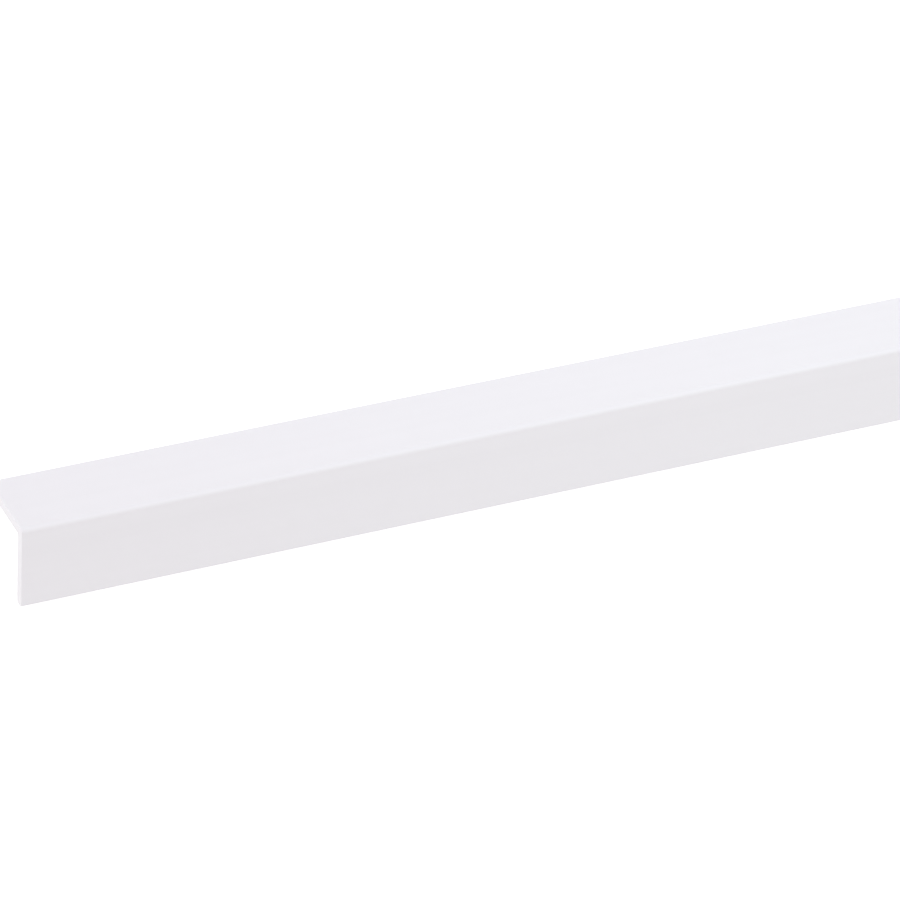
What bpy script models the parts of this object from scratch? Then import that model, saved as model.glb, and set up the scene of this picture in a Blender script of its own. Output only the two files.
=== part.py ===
"""Corner guard moulding: a stock length of white rigid PVC angle that covers the outside corner of a wall.

The guard is extruded in one piece. Its section is an equal-leg angle with a softly rounded outer corner, a
small fillet in the root, where it beds on the wall, and eased toes where each leg ends against the wall.
Units are metres and +Z is up. The guard lies as it would on a floor, like a low tent: its outer corner is
on top, and it stands on the inner edges of its two toes. Its length runs along X. The origin is on the
floor, under the middle of the outer corner.
"""

import math

import bpy
from mathutils import Vector

# Driving dimensions of the stock.
LENGTH = 2.4384  # an eight-foot stock length, sawn square at both ends
LEG_WIDTH = 0.01905  # three-quarter-inch legs, from the outer corner to the toe
WALL = 0.0022  # the same in both legs

# Radii that the extrusion die gives the section.
OUTER_CORNER_RADIUS = 0.0010
ROOT_RADIUS = 0.0005
TOE_OUTER_RADIUS = 0.0005  # the toe's edge on the face that shows, where the leg ends against the wall
TOE_INNER_RADIUS = 0.0003  # the toe's edge on the face that is glued

ARC_STEPS = 8  # an even number, so that each arc has a point in its middle, on which the guard stands

# A Bezier handle this share of the radius long turns a quarter circle.
QUARTER_CIRCLE_HANDLE = 4 / 3 * (math.sqrt(2) - 1)


def clear_scene():
    for obj in list(bpy.data.objects):
        bpy.data.objects.remove(obj)


def toe_radii():
    """The toe's outer and inner radius, both limited so that together they fit the wall."""
    share = min(1.0, WALL / (TOE_OUTER_RADIUS + TOE_INNER_RADIUS))
    return TOE_OUTER_RADIUS * share, TOE_INNER_RADIUS * share


def section_corners():
    """The section's sharp corners, going round it, each with its radius.

    A corner is two distances from the sharp outer corner: along the front leg, and along the back leg.
    """
    toe_outer, toe_inner = toe_radii()
    return [
        ((0, 0), OUTER_CORNER_RADIUS),
        ((LEG_WIDTH, 0), toe_outer),
        ((LEG_WIDTH, WALL), toe_inner),
        ((WALL, WALL), ROOT_RADIUS),
        ((WALL, LEG_WIDTH), toe_inner),
        ((0, LEG_WIDTH), toe_outer),
    ]


def outer_corner_height():
    """Height of the sharp outer corner over the floor, with both inner toe edges resting on it."""
    toe_inner = toe_radii()[1]
    arc_centre_drop = (LEG_WIDTH - toe_inner + WALL - toe_inner) / math.sqrt(2)
    return arc_centre_drop + toe_inner


def as_it_lies(along_front, along_back):
    """A point of the section turned by 45 degrees, to depth and height with the outer corner on top."""
    depth = (along_back - along_front) / math.sqrt(2)
    height = outer_corner_height() - (along_front + along_back) / math.sqrt(2)
    return Vector((depth, height, 0))


def round_corner(before, corner, after, radius):
    """The two knots of a quarter-round corner, each with its place and the end of its curved handle."""
    start = corner + (before - corner).normalized() * radius
    end = corner + (after - corner).normalized() * radius
    return (
        (start, start.lerp(corner, QUARTER_CIRCLE_HANDLE)),
        (end, end.lerp(corner, QUARTER_CIRCLE_HANDLE)),
    )


def add_section(curve):
    """Draws the closed outline of the section as straights joined by quarter rounds."""
    corners = [(as_it_lies(*place), radius) for place, radius in section_corners()]
    spline = curve.splines.new("BEZIER")
    spline.bezier_points.add(2 * len(corners) - 1)
    spline.use_cyclic_u = True
    for i, (corner, radius) in enumerate(corners):
        before = corners[i - 1][0]
        after = corners[(i + 1) % len(corners)][0]
        start, end = round_corner(before, corner, after, radius)
        enters, leaves = spline.bezier_points[2 * i], spline.bezier_points[2 * i + 1]
        enters.handle_left_type, enters.handle_right_type = "VECTOR", "FREE"
        leaves.handle_left_type, leaves.handle_right_type = "FREE", "VECTOR"
        enters.co, enters.handle_right = start
        leaves.co, leaves.handle_left = end


def white_pvc():
    """Rigid PVC, a slightly cool white with the satin surface that the die leaves."""
    material = bpy.data.materials.new("white_pvc")
    material.use_nodes = True
    shader = material.node_tree.nodes["Principled BSDF"]
    shader.inputs["Base Color"].default_value = (0.87, 0.86, 0.89, 1.0)
    shader.inputs["Roughness"].default_value = 0.38
    shader.inputs["Metallic"].default_value = 0.0
    return material


def corner_guard(collection):
    """The whole guard: its section, pushed out to the stock length along X."""
    curve = bpy.data.curves.new("corner_guard", "CURVE")
    curve.dimensions = "2D"
    curve.resolution_u = ARC_STEPS
    curve.fill_mode = "BOTH"
    curve.extrude = LENGTH / 2
    add_section(curve)
    curve.materials.append(white_pvc())
    guard = bpy.data.objects.new("corner_guard", curve)
    # The section is drawn flat, so this stands it up across the length.
    guard.rotation_euler = (math.radians(90), 0, math.radians(90))
    collection.objects.link(guard)
    return guard


def main():
    clear_scene()
    collection = bpy.data.collections.new("corner_guard_moulding")
    bpy.context.scene.collection.children.link(collection)
    corner_guard(collection)


main()
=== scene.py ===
"""A length of white PVC corner guard, lying on a white studio floor.

Everything is in metres, with +Z up. The guard's length runs along X, its outer corner is on top and the
floor is at height 0. The photograph shows its end at -X, from the side of its front leg, which is the one
towards -Y.
"""

import math

import bpy
import numpy as np
from mathutils import Matrix, Vector


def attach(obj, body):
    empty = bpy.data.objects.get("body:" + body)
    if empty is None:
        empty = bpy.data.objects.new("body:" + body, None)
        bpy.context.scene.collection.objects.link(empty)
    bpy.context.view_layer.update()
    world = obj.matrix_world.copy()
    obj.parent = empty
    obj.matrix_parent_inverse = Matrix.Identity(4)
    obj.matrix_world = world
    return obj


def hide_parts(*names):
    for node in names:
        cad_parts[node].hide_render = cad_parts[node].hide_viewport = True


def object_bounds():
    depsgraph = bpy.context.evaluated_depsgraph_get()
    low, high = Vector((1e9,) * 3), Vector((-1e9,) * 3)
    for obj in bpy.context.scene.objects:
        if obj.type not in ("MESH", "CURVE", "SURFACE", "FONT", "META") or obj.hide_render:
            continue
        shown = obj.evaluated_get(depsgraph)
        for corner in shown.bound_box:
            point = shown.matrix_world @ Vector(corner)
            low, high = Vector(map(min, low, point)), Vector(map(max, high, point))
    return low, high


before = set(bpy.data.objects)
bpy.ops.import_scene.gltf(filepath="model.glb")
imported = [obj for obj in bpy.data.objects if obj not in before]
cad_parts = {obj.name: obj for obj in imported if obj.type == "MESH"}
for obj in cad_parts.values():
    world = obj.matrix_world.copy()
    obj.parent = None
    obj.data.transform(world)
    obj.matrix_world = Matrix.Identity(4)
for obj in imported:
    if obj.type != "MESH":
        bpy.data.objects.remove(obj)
cad_low, cad_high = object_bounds()


# The guard
# It is an angle of rigid PVC, extruded in one piece, so each line on its faces runs its whole length. A saw
# cuts it square at both ends. Nothing is fixed to it: adhesive inside both legs holds it to the wall.

MICRON = 0.000001
LEG = 0.01905  # from the sharp outer corner to the toe
WALL = 0.0022
OUTER_CORNER_RADIUS = 0.0010
ROOT_RADIUS = 0.0005
TOE_OUTER_RADIUS = 0.0005
TOE_INNER_RADIUS = 0.0003
END_EDGE = 0.00008  # radius of the edge that the saw leaves

ARC_POINTS = 9
FLAT_POINTS = 80
WALL_POINTS = 11  # across the wall, from its outer to its inner face
EDGE_POINTS = 4
STATION_STEP = 0.025  # along the guard

# The map for baking the materials is a unit square. The sides and both ends are bands across
# it, each from its start to its end height. The high end's runs downwards, because its grid is seen from
# behind there and would be mirrored otherwise.
MAP_MARGIN = 0.01
SIDES_BAND = (0.01, 0.85)
LOW_END_BAND = (0.87, 0.92)
HIGH_END_BAND = (0.99, 0.94)

WAVE_SEED = 7
DIE_LINE_DEPTH = 2 * MICRON
DIE_LINE_PITCHES = (0.0007, 0.0011, 0.0019, 0.0034, 0.0061)
DRAW_CHANGE = 0.4  # how far the die lines come and go along the guard, as a share of their depth
DRAW_PITCHES = (0.17, 0.31, 0.53)
SAW_DEPTH = 12 * MICRON
SAW_PITCHES = (0.0009, 0.0016, 0.0041)
SAW_CENTRE = (0.030, 0.130)  # the middle of the saw blade, along the front leg and along the back leg


def arc(centre, radius, start, end):
    """Points at even angles: the centre plus the radius times the cosine and sine of the angle."""
    angle = np.radians(np.linspace(start, end, ARC_POINTS))
    return np.array(centre) + radius * np.stack([np.cos(angle), np.sin(angle)], axis=1)


def whole_face(toe, corner):
    """One face's outline: its toe arc, points at even steps along the flat and half of its corner arc. Then
    comes their mirror image in the line that halves the corner, with the two legs swapped.
    """
    flat = np.linspace(toe[-1], corner[0], FLAT_POINTS)
    half = np.concatenate([toe, flat[1:-1], corner])
    return np.concatenate([half, half[-2::-1, ::-1]])


def section(inset):
    """The section as a grid. Its first index follows the faces from the front toe round the corner to the
    back toe, and its second crosses the wall. A point lies on the straight line between a point of the
    outer face and its partner on the inner face. Each is two distances from the sharp outer corner, along
    the front leg and along the back leg. The inset draws the outline in, and its arcs keep their centres.
    """
    corner, root = OUTER_CORNER_RADIUS, WALL + ROOT_RADIUS
    outer_toe = arc((LEG - TOE_OUTER_RADIUS, TOE_OUTER_RADIUS), TOE_OUTER_RADIUS - inset, 0, -90)
    inner_toe = arc((LEG - TOE_INNER_RADIUS, WALL - TOE_INNER_RADIUS), TOE_INNER_RADIUS - inset, 0, 90)
    outer = whole_face(outer_toe, arc((corner, corner), corner - inset, -90, -135))
    inner = whole_face(inner_toe, arc((root, root), ROOT_RADIUS + inset, -90, -135))
    across = np.linspace(0, 1, WALL_POINTS)[None, :, None]
    return outer[:, None] * (1 - across) + inner[:, None] * across


def rim_of(shape):
    """Numbers of the grid's border points in one closed ring: the outer face, the back toe, the inner face
    and the front toe.
    """
    number = np.arange(math.prod(shape)).reshape(shape)
    return np.concatenate([number[:-1, 0], number[-1, :-1], number[:0:-1, -1], number[0, :0:-1]])


def outwards(ring):
    """Unit normals of a ring of points: the line between both neighbours, turned a quarter outwards."""
    along = np.roll(ring, -1, axis=0) - np.roll(ring, 1, axis=0)
    along /= np.linalg.norm(along, axis=1, keepdims=True)
    return np.stack([-along[:, 1], along[:, 0]], axis=1)


def waves(place, pitches, rng):
    """A sum of sine waves of the given pitches with random phases. The square of a wave's height is its
    pitch's share of all the pitches.
    """
    pitches = np.array(pitches)
    phases = rng.uniform(0, 2 * math.pi, len(pitches))
    heights = np.sqrt(pitches / pitches.sum())
    return (heights * np.sin(2 * math.pi * place[..., None] / pitches + phases)).sum(axis=-1)


def stations():
    """Places along the guard, and how far the section is drawn in there. Each end has a quarter-round edge
    of radius e that starts under the deepest saw marks: at angle t it is e(1 - cos t) deeper than they are,
    and drawn in by e(1 - sin t). From there on the section is full, first at e further in, which keeps the
    edge's shading off the faces, and then at even steps.
    """
    turn = np.radians(np.linspace(0, 90, EDGE_POINTS))
    depth, inset = SAW_DEPTH + END_EDGE * (1 - np.cos(turn)), END_EDGE * (1 - np.sin(turn))
    low, high = cad_low.x + depth, cad_high.x - depth[::-1]
    steps = round((cad_high.x - cad_low.x) / STATION_STEP)
    middle = np.linspace(low[-1] + END_EDGE, high[0] - END_EDGE, steps + 1)
    full = np.zeros(len(middle))
    return np.concatenate([low, middle, high]), np.concatenate([inset, full, inset[::-1]])


def die_lined(rings, place, rng):
    """The rings, one at each place, with their points moved outwards by the height of the die lines. It is
    a sum of waves of the way round the section, and it comes and goes with slow waves of the place.
    """
    ring = rings[len(rings) // 2]
    way_round = np.concatenate([[0], np.cumsum(np.linalg.norm(np.diff(ring, axis=0), axis=1))])
    lines = waves(way_round, DIE_LINE_PITCHES, rng)
    drawn = 1 + DRAW_CHANGE * waves(place, DRAW_PITCHES, rng)
    height = DIE_LINE_DEPTH * lines[None, :] * drawn[:, None]
    return rings + height[..., None] * outwards(ring)[None]


def saw_marks(points, rng):
    """How deep the saw cut at each point of an end. The marks are rings round the blade's middle: the depth
    is a sum of waves of the distance from there, held between 0 and the saw's depth.
    """
    reach = np.linalg.norm(points - np.array(SAW_CENTRE), axis=-1)
    return SAW_DEPTH * (1 + np.clip(waves(reach, SAW_PITCHES, rng) / 2, -1, 1)) / 2


# Height of the sharp outer corner: the toes' inner arcs touch the floor, and the legs slope at 45 degrees.
RIDGE_HEIGHT = (LEG + WALL - 2 * TOE_INNER_RADIUS) / math.sqrt(2) + TOE_INNER_RADIUS


def as_it_lies(points):
    """Section points turned by 45 degrees, as depth and height. The depth is the difference of the two
    distances over the root of 2, and the height is the ridge's less their sum over the root of 2.
    """
    front, back = points[..., 0], points[..., 1]
    depth, drop = (back - front) / math.sqrt(2), (front + back) / math.sqrt(2)
    return np.stack([depth, RIDGE_HEIGHT - drop], axis=-1)


def guard_points(grid, rim):
    """The section carried along X: the whole grid at the low end, a ring of rim points at each station, and
    the whole grid at the high end. The rims of the two grids stand for the first and the last ring.
    """
    rng = np.random.default_rng(WAVE_SEED)
    place, inset = stations()
    rings = np.stack([section(drawn_in).reshape(-1, 2)[rim] for drawn_in in inset])
    rings = die_lined(rings, place, rng)
    low_end, high_end = grid.copy(), grid.copy()
    low_end[rim], high_end[rim] = rings[0], rings[-1]
    along = (
        cad_low.x + saw_marks(grid, rng),
        np.repeat(place[1:-1], len(rim)),
        cad_high.x - saw_marks(grid, rng),
    )
    across = as_it_lies(np.concatenate([low_end, rings[1:-1].reshape(-1, 2), high_end]))
    return np.column_stack([np.concatenate(along), across])


def quads(grid):
    """The four corners of each cell of a grid, going round the cell."""
    corners = (grid[:-1, :-1], grid[1:, :-1], grid[1:, 1:], grid[:-1, 1:])
    return np.stack(corners, axis=2).reshape(-1, 4, *grid.shape[2:])


def band(shape, start, end):
    """The corners of a grid's cells on the map. The grid's first index runs across the whole map, and its
    second from the start to the end height, both at even steps.
    """
    across, up = np.linspace(MAP_MARGIN, 1 - MAP_MARGIN, shape[0]), np.linspace(start, end, shape[1])
    return quads(np.stack(np.meshgrid(across, up, indexing="ij"), axis=-1))


def guard_faces(shape, rim, high_end):
    """The faces as point numbers, their corners on the map, and how many of them are sides. The sides join
    each ring to the next, and the cells of the grid close both ends. The high end's first point has the
    number high_end.
    """
    between = np.arange(math.prod(shape), high_end).reshape(-1, len(rim))
    rings = np.concatenate([rim[None], between, high_end + rim[None]])
    # Each ring starts and ends in the middle of the root, where the map's seam doesn't show. It lies past
    # the outer face, the back toe and half of the inner face.
    root = (shape[0] - 1) + (shape[1] - 1) + (shape[0] - 1) // 2
    rings = np.roll(rings, -root, axis=1)
    rings = np.concatenate([rings, rings[:, :1]], axis=1)
    sides, cells = quads(rings), quads(np.arange(math.prod(shape)).reshape(shape))
    faces = np.concatenate([sides, cells, high_end + cells[:, ::-1]])
    low_band, high_band = band(shape, *LOW_END_BAND), band(shape, *HIGH_END_BAND)
    on_map = np.concatenate([band(rings.shape, *SIDES_BAND), low_band, high_band[:, ::-1]])
    return faces, on_map, len(sides)


end_grid = section(END_EDGE)
end_shape = end_grid.shape[:2]
rim = rim_of(end_shape)
points = guard_points(end_grid.reshape(-1, 2), rim)
faces, on_map, side_count = guard_faces(end_shape, rim, len(points) - math.prod(end_shape))
guard_shape = bpy.data.meshes.new("pvc_angle")
guard_shape.from_pydata(points.tolist(), [], faces.tolist())
guard_map = guard_shape.uv_layers.new(name="OFBake")  # the name that marks the map for baking
guard_map.uv.foreach_set("vector", on_map.ravel().astype(np.float32))
guard_shape.polygons.foreach_set("use_smooth", np.ones(len(faces), dtype=bool))
guard_shape.polygons.foreach_set("material_index", (np.arange(len(faces)) >= side_count).astype(np.int32))
guard_shape.update()
guard = bpy.data.objects.new("pvc_angle", guard_shape)
bpy.context.collection.objects.link(guard)
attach(guard, "root")
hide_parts("corner_guard")

PVC_WHITE = (0.87, 0.86, 0.89, 1)
SAWN_WHITE = (0.88, 0.863, 0.885, 1)  # the saw roughens the cut, which scatters more light
PVC_IOR = 1.53
EXTRUDED_ROUGHNESS = (0.35, 0.42)
SAWN_ROUGHNESS = (0.55, 0.65)
TOOTH_PITCH = 0.00028  # of the finest marks on a cut
LINE_STRETCH = 250  # how many times longer the noise of the die lines is along X than across

# Waves to the metre of each noise.
CLOUDS = 120
GRAIN = 3000
BROAD_LINES = 420
FINE_LINES = 2400
ORANGE_PEEL = 700


def spread(tree, value, known, wanted):
    """The value's known range carried to the wanted one, in a straight line."""
    node = tree.nodes.new("ShaderNodeMapRange")
    for name, number in zip(("From Min", "From Max", "To Min", "To Max"), (*known, *wanted)):
        node.inputs[name].default_value = number
    tree.links.new(value, node.inputs["Value"])
    return node.outputs["Result"]


def noise(tree, vector, scale, detail):
    """Noise of so many waves to the metre, with its usual range of 0.3 to 0.7 carried to 0 to 1."""
    texture = tree.nodes.new("ShaderNodeTexNoise")
    texture.inputs["Scale"].default_value = scale
    texture.inputs["Detail"].default_value = detail
    tree.links.new(vector, texture.inputs["Vector"])
    return spread(tree, texture.outputs["Fac"], (0.3, 0.7), (0, 1))


def object_place(tree, scale):
    """Object coordinates times the scale along each axis."""
    place = tree.nodes.new("ShaderNodeTexCoord")
    mapping = tree.nodes.new("ShaderNodeMapping")
    mapping.inputs["Scale"].default_value = scale
    tree.links.new(place.outputs["Object"], mapping.inputs["Vector"])
    return mapping.outputs["Vector"]


def worked_out(tree, operation, *values):
    """The result of one step of arithmetic. Each value is a number or another node's output."""
    node = tree.nodes.new("ShaderNodeMath")
    node.operation = operation
    for socket, value in zip(node.inputs, values):
        if isinstance(value, (int, float)):
            socket.default_value = value
        else:
            tree.links.new(value, socket)
    return node.outputs["Value"]


def shaded(tree, colour, amount):
    """The colour times the amount."""
    node = tree.nodes.new("ShaderNodeVectorMath")
    node.operation = "SCALE"
    tree.links.new(colour, node.inputs[0])
    tree.links.new(amount, node.inputs["Scale"])
    return node.outputs["Vector"]


def relief(tree, first, *others):
    """A bump for the normal: the sum of patterns of 0 to 1, each times its own height in metres."""
    total = spread(tree, first[0], (0, 1), (0, first[1]))
    for pattern, height in others:
        total = worked_out(tree, "ADD", total, spread(tree, pattern, (0, 1), (0, height)))
    bump = tree.nodes.new("ShaderNodeBump")
    bump.inputs["Distance"].default_value = 1.0
    tree.links.new(total, bump.inputs["Height"])
    tree.links.new(bump.outputs["Normal"], tree.nodes["Principled BSDF"].inputs["Normal"])


def compound():
    """A shader group for what the compound itself shows, sawn or extruded, because its chalk and pigment
    are never quite evenly mixed. Clouds some 8 mm across darken the white by up to the given depth, and
    Grain is a fine noise between 0 and 1.
    """
    tree = bpy.data.node_groups.new("pvc_compound", "ShaderNodeTree")
    tree.interface.new_socket("White", in_out="INPUT", socket_type="NodeSocketColor")
    tree.interface.new_socket("Cloud Depth", in_out="INPUT", socket_type="NodeSocketFloat")
    tree.interface.new_socket("Color", in_out="OUTPUT", socket_type="NodeSocketColor")
    tree.interface.new_socket("Grain", in_out="OUTPUT", socket_type="NodeSocketFloat")
    given = tree.nodes.new("NodeGroupInput")
    result = tree.nodes.new("NodeGroupOutput")
    place = object_place(tree, (1, 1, 1))
    cloud = worked_out(tree, "MULTIPLY", noise(tree, place, CLOUDS, 3), given.outputs["Cloud Depth"])
    kept = worked_out(tree, "SUBTRACT", 1.0, cloud)
    tree.links.new(shaded(tree, given.outputs["White"], kept), result.inputs["Color"])
    tree.links.new(noise(tree, place, GRAIN, 2), result.inputs["Grain"])
    return tree


def pvc_material(name, group, white, cloud_depth):
    """A new material of the compound. Gives its node tree, its shader and the compound's node."""
    material = bpy.data.materials.new(name)
    material.use_nodes = True
    guard_shape.materials.append(material)
    tree = material.node_tree
    shader = tree.nodes["Principled BSDF"]
    shader.inputs["IOR"].default_value = PVC_IOR
    mixed = tree.nodes.new("ShaderNodeGroup")
    mixed.node_tree = group
    mixed.inputs["White"].default_value = white
    mixed.inputs["Cloud Depth"].default_value = cloud_depth
    return tree, shader, mixed


def extruded_pvc(group):
    """Satin, as it leaves the die. The noise of the die lines is drawn out along X. Broad lines change the
    white and the sheen a little, and all the lines and a faint orange peel are relief.
    """
    tree, shader, mixed = pvc_material("extruded_pvc", group, PVC_WHITE, cloud_depth=0.006)
    drawn = object_place(tree, (1 / LINE_STRETCH, 1, 1))
    broad = noise(tree, drawn, BROAD_LINES, 3)
    fine = noise(tree, drawn, FINE_LINES, 2)
    peel = noise(tree, object_place(tree, (1, 1, 1)), ORANGE_PEEL, 2)
    grain = mixed.outputs["Grain"]
    tone = spread(tree, broad, (0, 1), (0.994, 1.004))
    tree.links.new(shaded(tree, mixed.outputs["Color"], tone), shader.inputs["Base Color"])
    tree.links.new(spread(tree, broad, (0, 1), EXTRUDED_ROUGHNESS), shader.inputs["Roughness"])
    relief(tree, (broad, 6 * MICRON), (fine, 2 * MICRON), (peel, 4 * MICRON), (grain, 0.2 * MICRON))


def sawn_pvc(group):
    """Rougher, and a little paler. The finest tooth marks are the sine of the distance from the blade's
    middle, seen along X, with the compound's grain torn up between them.
    """
    tree, shader, mixed = pvc_material("sawn_pvc", group, SAWN_WHITE, cloud_depth=0.010)
    reach = tree.nodes.new("ShaderNodeVectorMath")
    reach.operation = "DISTANCE"
    tree.links.new(object_place(tree, (0, 1, 1)), reach.inputs[0])
    reach.inputs[1].default_value = (0, *as_it_lies(np.array(SAW_CENTRE)))
    turns = worked_out(tree, "MULTIPLY", reach.outputs["Value"], 2 * math.pi / TOOTH_PITCH)
    marks = spread(tree, worked_out(tree, "SINE", turns), (-1, 1), (0, 1))
    grain = mixed.outputs["Grain"]
    tone = spread(tree, grain, (0, 1), (0.985, 1.0))
    tree.links.new(shaded(tree, mixed.outputs["Color"], tone), shader.inputs["Base Color"])
    tree.links.new(spread(tree, marks, (0, 1), SAWN_ROUGHNESS), shader.inputs["Roughness"])
    relief(tree, (marks, 2.5 * MICRON), (grain, 6 * MICRON))


pvc_compound = compound()
extruded_pvc(pvc_compound)
sawn_pvc(pvc_compound)


# The floor
# A white studio sheet, far wider than the guard is long, so that it fills every view down to the horizon.
# It darkens only in the guard's shadow.

FLOOR_SIDE = 60.0
FLOOR_WHITE = 0.85
FLOOR_GLOW = 0.6

corners = FLOOR_SIDE / 2 * np.array([(-1, -1, 0), (1, -1, 0), (1, 1, 0), (-1, 1, 0)])
floor_mesh = bpy.data.meshes.new("floor")
floor_mesh.from_pydata(corners.tolist(), [], [(0, 1, 2, 3)])
floor = bpy.data.objects.new("floor", floor_mesh)
bpy.context.collection.objects.link(floor)


def seen_or_mirrored(tree):
    """1 for a ray that the camera sees, also in gloss or through glass, and 0 for light on a surface."""
    rays = tree.nodes.new("ShaderNodeLightPath").outputs
    mirrored = worked_out(tree, "MAXIMUM", rays["Is Glossy Ray"], rays["Is Transmission Ray"])
    return worked_out(tree, "MAXIMUM", rays["Is Camera Ray"], mirrored)


def white_sheet():
    """White without gloss. The camera and gloss see it with a glow of its own, so that it shows as pure
    white where it is lit. The glow doesn't light the guard.
    """
    material = bpy.data.materials.new("white_sheet")
    material.use_nodes = True
    tree = material.node_tree
    shader = tree.nodes["Principled BSDF"]
    shader.inputs["Base Color"].default_value = (FLOOR_WHITE, FLOOR_WHITE, FLOOR_WHITE, 1)
    shader.inputs["Roughness"].default_value = 1.0
    shader.inputs["Specular IOR Level"].default_value = 0.0
    shader.inputs["Emission Color"].default_value = (1, 1, 1, 1)
    glow = worked_out(tree, "MULTIPLY", seen_or_mirrored(tree), FLOOR_GLOW)
    tree.links.new(glow, shader.inputs["Emission Strength"])
    return material


floor_mesh.materials.append(white_sheet())


# The light
# A room that is bright from all sides, a broad lamp high beyond the near end, and a weak bluish one behind
# the back leg. A small softbox hangs over the guard, where the stretch in the photograph comes to its end.

ROOM_LIGHT = 0.765
ROOM_TINT = (1.0, 0.953, 0.953, 1)
BACKDROP_WHITE = (1, 1, 1, 1)
SOFTBOX_POWER = 0.09
SOFTBOX_TINT = (0.75, 1.05, 1.0)
SOFTBOX_SIZE = (0.3, 0.3)
SOFTBOX_PLACE = Vector((-1.0, 0.03, 0.25))

world = bpy.data.worlds.new("studio")
world.use_nodes = True
bpy.context.scene.world = world
nodes, links = world.node_tree.nodes, world.node_tree.links
room = nodes["Background"]
room.inputs["Color"].default_value = ROOM_TINT
room.inputs["Strength"].default_value = ROOM_LIGHT
backdrop = nodes.new("ShaderNodeBackground")
backdrop.inputs["Color"].default_value = BACKDROP_WHITE
backdrop.inputs["Strength"].default_value = 1.0
choice = nodes.new("ShaderNodeMixShader")
links.new(seen_or_mirrored(world.node_tree), choice.inputs["Fac"])
links.new(room.outputs["Background"], choice.inputs[1])
links.new(backdrop.outputs["Background"], choice.inputs[2])
links.new(choice.outputs["Shader"], nodes["World Output"].inputs["Surface"])


def far_lamp(name, level, tint, degrees, origin):
    """Light from far away, from the origin's side and spread over so many degrees. A white face square to
    it shows at the level.
    """
    data = bpy.data.lights.new(name, "SUN")
    data.energy = math.pi * level
    data.color = tint
    data.angle = math.radians(degrees)
    lamp = bpy.data.objects.new(name, data)
    lamp.rotation_euler = Vector(origin).to_track_quat("Z", "Y").to_euler()
    bpy.context.collection.objects.link(lamp)


far_lamp("key", level=0.29, tint=(0.93, 1.0, 1.0), degrees=40, origin=(-0.78, 0.10, 0.62))
far_lamp("rim", level=0.04, tint=(0.5, 0.5, 1.0), degrees=25, origin=(0.37, 0.60, 0.71))

softbox = bpy.data.lights.new("softbox", "AREA")
softbox.shape = "RECTANGLE"
softbox.size, softbox.size_y = SOFTBOX_SIZE
softbox.energy = SOFTBOX_POWER
softbox.color = SOFTBOX_TINT
softbox_lamp = bpy.data.objects.new("softbox", softbox)
softbox_lamp.location = SOFTBOX_PLACE
softbox_lamp.visible_camera = False
softbox_lamp.rotation_euler.x = -math.atan2(SOFTBOX_PLACE.y, SOFTBOX_PLACE.z)
bpy.context.collection.objects.link(softbox_lamp)


# The camera
# It looks at the near end from the front. The point where that end's two outer faces would meet lies on one
# point of the picture. The three angles are those of the photograph, in which the back leg's outer face is
# level and faces up. The guard lies turned by 45 degrees from that, and the camera is turned with it.

PICTURE_SIDE = 900
NEAR_CORNER_PIXEL = (21.68, 530.16)
SENSOR = 36.0
LENS = 215.0
DEPTH = 1.0792  # of the near corner, along the camera's line of sight
AZIMUTH, ELEVATION, ROLL = math.radians(26.49), math.radians(33.34), math.radians(3.62)

level = Vector((math.cos(AZIMUTH), -math.sin(AZIMUTH), 0))
towards_guard = Vector((math.sin(AZIMUTH), math.cos(AZIMUTH), 0))
back = math.sin(ELEVATION) * Vector((0, 0, 1)) - math.cos(ELEVATION) * towards_guard
upright = back.cross(level)
right = math.cos(ROLL) * level + math.sin(ROLL) * upright
up = math.cos(ROLL) * upright - math.sin(ROLL) * level
lie_down = Matrix.Rotation(math.radians(-45), 3, "X")
right, up, back = lie_down @ right, lie_down @ up, lie_down @ back

near_corner = Vector((cad_low.x, 0, RIDGE_HEIGHT))
pixel = SENSOR / LENS / PICTURE_SIDE
across = (NEAR_CORNER_PIXEL[0] - PICTURE_SIDE / 2) * pixel
down = (NEAR_CORNER_PIXEL[1] - PICTURE_SIDE / 2) * pixel
place = near_corner + DEPTH * (back - across * right + down * up)

camera_data = bpy.data.cameras.new("camera")
camera_data.sensor_width = SENSOR
camera_data.lens = LENS
camera_data.clip_end = 100
camera = bpy.data.objects.new("camera", camera_data)
camera.matrix_world = Matrix.Translation(place) @ Matrix((right, up, back)).transposed().to_4x4()
bpy.context.collection.objects.link(camera)
bpy.context.scene.camera = camera
bpy.context.scene.view_settings.view_transform = "Standard"
